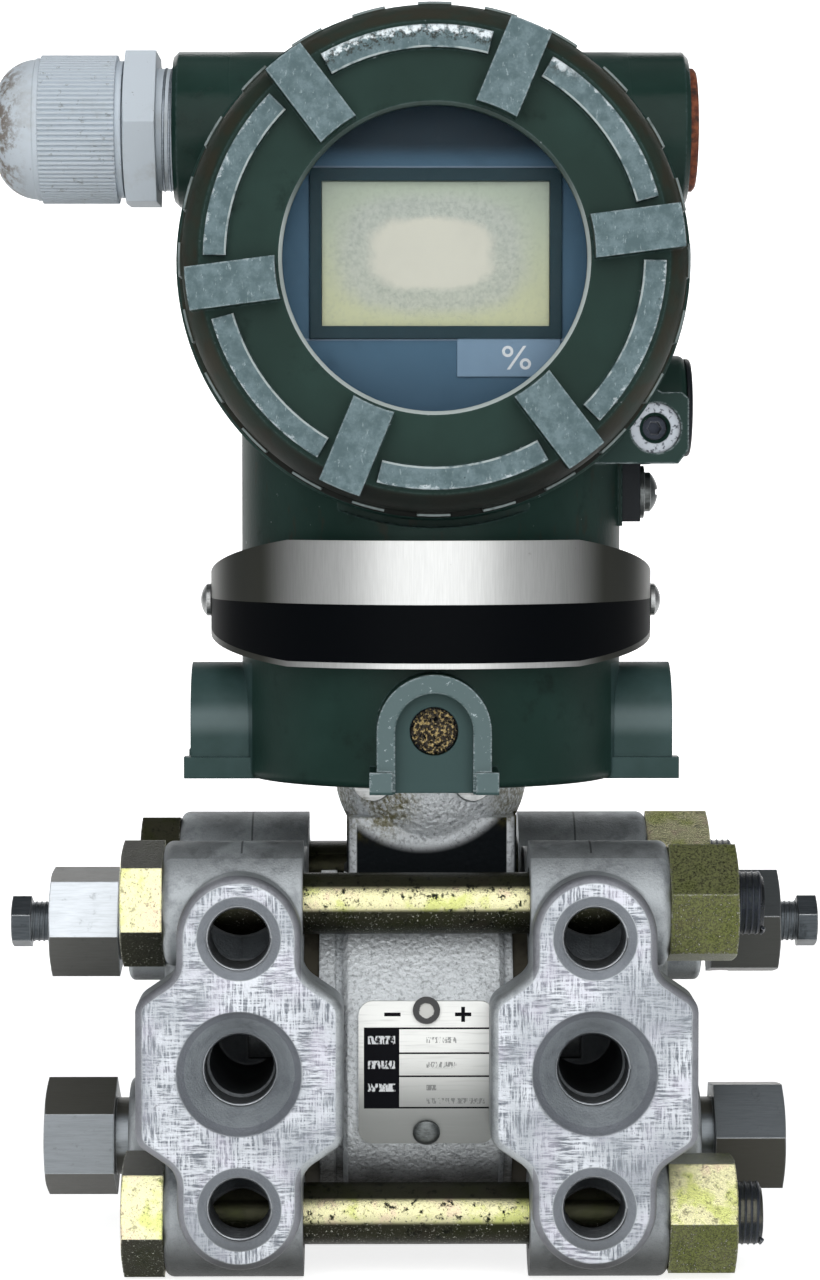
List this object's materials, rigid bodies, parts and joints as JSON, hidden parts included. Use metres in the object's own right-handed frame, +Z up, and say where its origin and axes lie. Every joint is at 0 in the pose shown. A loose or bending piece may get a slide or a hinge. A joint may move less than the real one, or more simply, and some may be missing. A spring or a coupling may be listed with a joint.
{
  "type": "differential pressure transmitter",
  "caption": "Field transmitter with a round local display on a cast housing, above a measuring capsule clamped between two bolted process flanges with tapped ports.",
  "frame": {"origin": "centre of the four-bolt process pattern, on the milled front faces of the two flanges", "axes": "+X across the two ports, +Y into the transmitter, +Z up towards the housing"},
  "size_m": [0.1319, 0.1128, 0.1964],
  "materials": {
    "green_paint": "semi-gloss",
    "cast_steel": "cast, blasted",
    "turned_steel": "turned",
    "yellow_zinc": "yellow zinc plated",
    "dark_steel": "blackened",
    "rusted_steel": "rusted",
    "brushed_plate": "brushed",
    "grey_plastic": "satin",
    "dark_plastic": "satin",
    "slate_plastic": "satin",
    "label_plate": "satin",
    "display_panel": "stained",
    "circuit_board": "soldered",
    "terminal_plastic": "satin",
    "seal_rubber": "moulded",
    "gasket_white": "moulded",
    "window_glass": "clear"
  },
  "bodies": {
    "transmitter": {"amplifier_board": "circuit_board", "amplifier_housing": "green_paint", "blind_plug": "rusted_steel", "capsule_body": "cast_steel", "capsule_gaskets": "gasket_white", "diaphragms": "turned_steel", "display_board": "circuit_board", "display_frame": "dark_plastic", "display_glass": "display_panel", "display_pillars": "turned_steel", "display_plate": "slate_plastic", "display_screws": "turned_steel", "drain_plugs": "turned_steel", "fill_plugs": "turned_steel", "flange_bolts": "yellow_zinc", "flange_left": "cast_steel", "flange_nuts": "yellow_zinc", "flange_right": "cast_steel", "gland_body": "grey_plastic", "ground_screw": "turned_steel", "ground_spacer": "dark_steel", "ground_washers": "turned_steel", "nameplate": "brushed_plate", "nameplate_screws": "turned_steel", "neck_screws": "dark_steel", "neck_seal": "seal_rubber", "pressure_sensor": "turned_steel", "tag_plate": "brushed_plate", "tag_plate_screw": "turned_steel", "tag_plate_stud": "dark_steel", "terminal_block": "terminal_plastic", "terminal_screws": "turned_steel", "unit_plate": "label_plate", "vent_plugs": "turned_steel", "zero_bezel": "dark_plastic"},
    "front_seal": {"front_cover_seal": "seal_rubber"},
    "front_cover": {"front_cover": "green_paint", "window_glass": "window_glass", "window_ring": "dark_plastic"},
    "rear_seal": {"rear_cover_seal": "seal_rubber"},
    "rear_cover": {"rear_cover": "green_paint"},
    "gland_seal": {"gland_seal": "seal_rubber"},
    "gland_nut": {"gland_nut": "grey_plastic"},
    "zero_adjuster": {"zero_adjuster": "dark_plastic"},
    "vent_screw_left": {"vent_screw_left": "turned_steel"},
    "vent_screw_right": {"vent_screw_right": "turned_steel"},
    "lock_screw_front": {"lock_screw_front": "dark_steel"},
    "lock_screw_rear": {"lock_screw_rear": "dark_steel"}
  },
  "joints": [
    {"name": "front_cover_travel", "type": "slide", "parent": "transmitter", "child": "front_seal", "axis": [0, -1, 0], "range_m": [0, 0.009]},
    {"name": "front_cover_turn", "type": "hinge", "parent": "front_seal", "child": "front_cover", "pos_m": [0.0026, 0.0124, 0.1231], "axis": [0, -1, 0], "range_deg": [0, 2160]},
    {"name": "rear_cover_travel", "type": "slide", "parent": "transmitter", "child": "rear_seal", "axis": [0, 1, 0], "range_m": [0, 0.009]},
    {"name": "rear_cover_turn", "type": "hinge", "parent": "rear_seal", "child": "rear_cover", "pos_m": [0.0026, 0.0856, 0.1231], "axis": [0, 1, 0], "range_deg": [0, 2160]},
    {"name": "gland_nut_travel", "type": "slide", "parent": "transmitter", "child": "gland_seal", "axis": [-1, 0, 0], "range_m": [0, 0.0045]},
    {"name": "gland_nut_turn", "type": "hinge", "parent": "gland_seal", "child": "gland_nut", "pos_m": [-0.055, 0.044, 0.1465], "axis": [-1, 0, 0], "range_deg": [0, 1080]},
    {"name": "zero_adjuster_turn", "type": "hinge", "parent": "transmitter", "child": "zero_adjuster", "pos_m": [0.0442, 0.042, 0.1016], "axis": [1, 0, 0], "continuous": true},
    {"name": "vent_screw_left_turn", "type": "hinge", "parent": "transmitter", "child": "vent_screw_left", "pos_m": [-0.062, 0.039, 0.0185], "axis": [-1, 0, 0], "range_deg": [0, 720]},
    {"name": "vent_screw_right_turn", "type": "hinge", "parent": "transmitter", "child": "vent_screw_right", "pos_m": [0.062, 0.039, 0.0185], "axis": [1, 0, 0], "range_deg": [0, 720]},
    {"name": "lock_screw_front_turn", "type": "hinge", "parent": "transmitter", "child": "lock_screw_front", "pos_m": [0.0369, 0.018, 0.098], "axis": [0, -1, 0], "range_deg": [0, 1080]},
    {"name": "lock_screw_rear_turn", "type": "hinge", "parent": "transmitter", "child": "lock_screw_rear", "pos_m": [0.0369, 0.08, 0.098], "axis": [0, 1, 0], "range_deg": [0, 1080]}
  ],
  "couplings": [
    {"joint": "front_cover_travel", "follows": "front_cover_turn", "m_per_rad": 0.00023873},
    {"joint": "rear_cover_travel", "follows": "rear_cover_turn", "m_per_rad": 0.00023873},
    {"joint": "gland_nut_travel", "follows": "gland_nut_turn", "m_per_rad": 0.00023873}
  ]
}
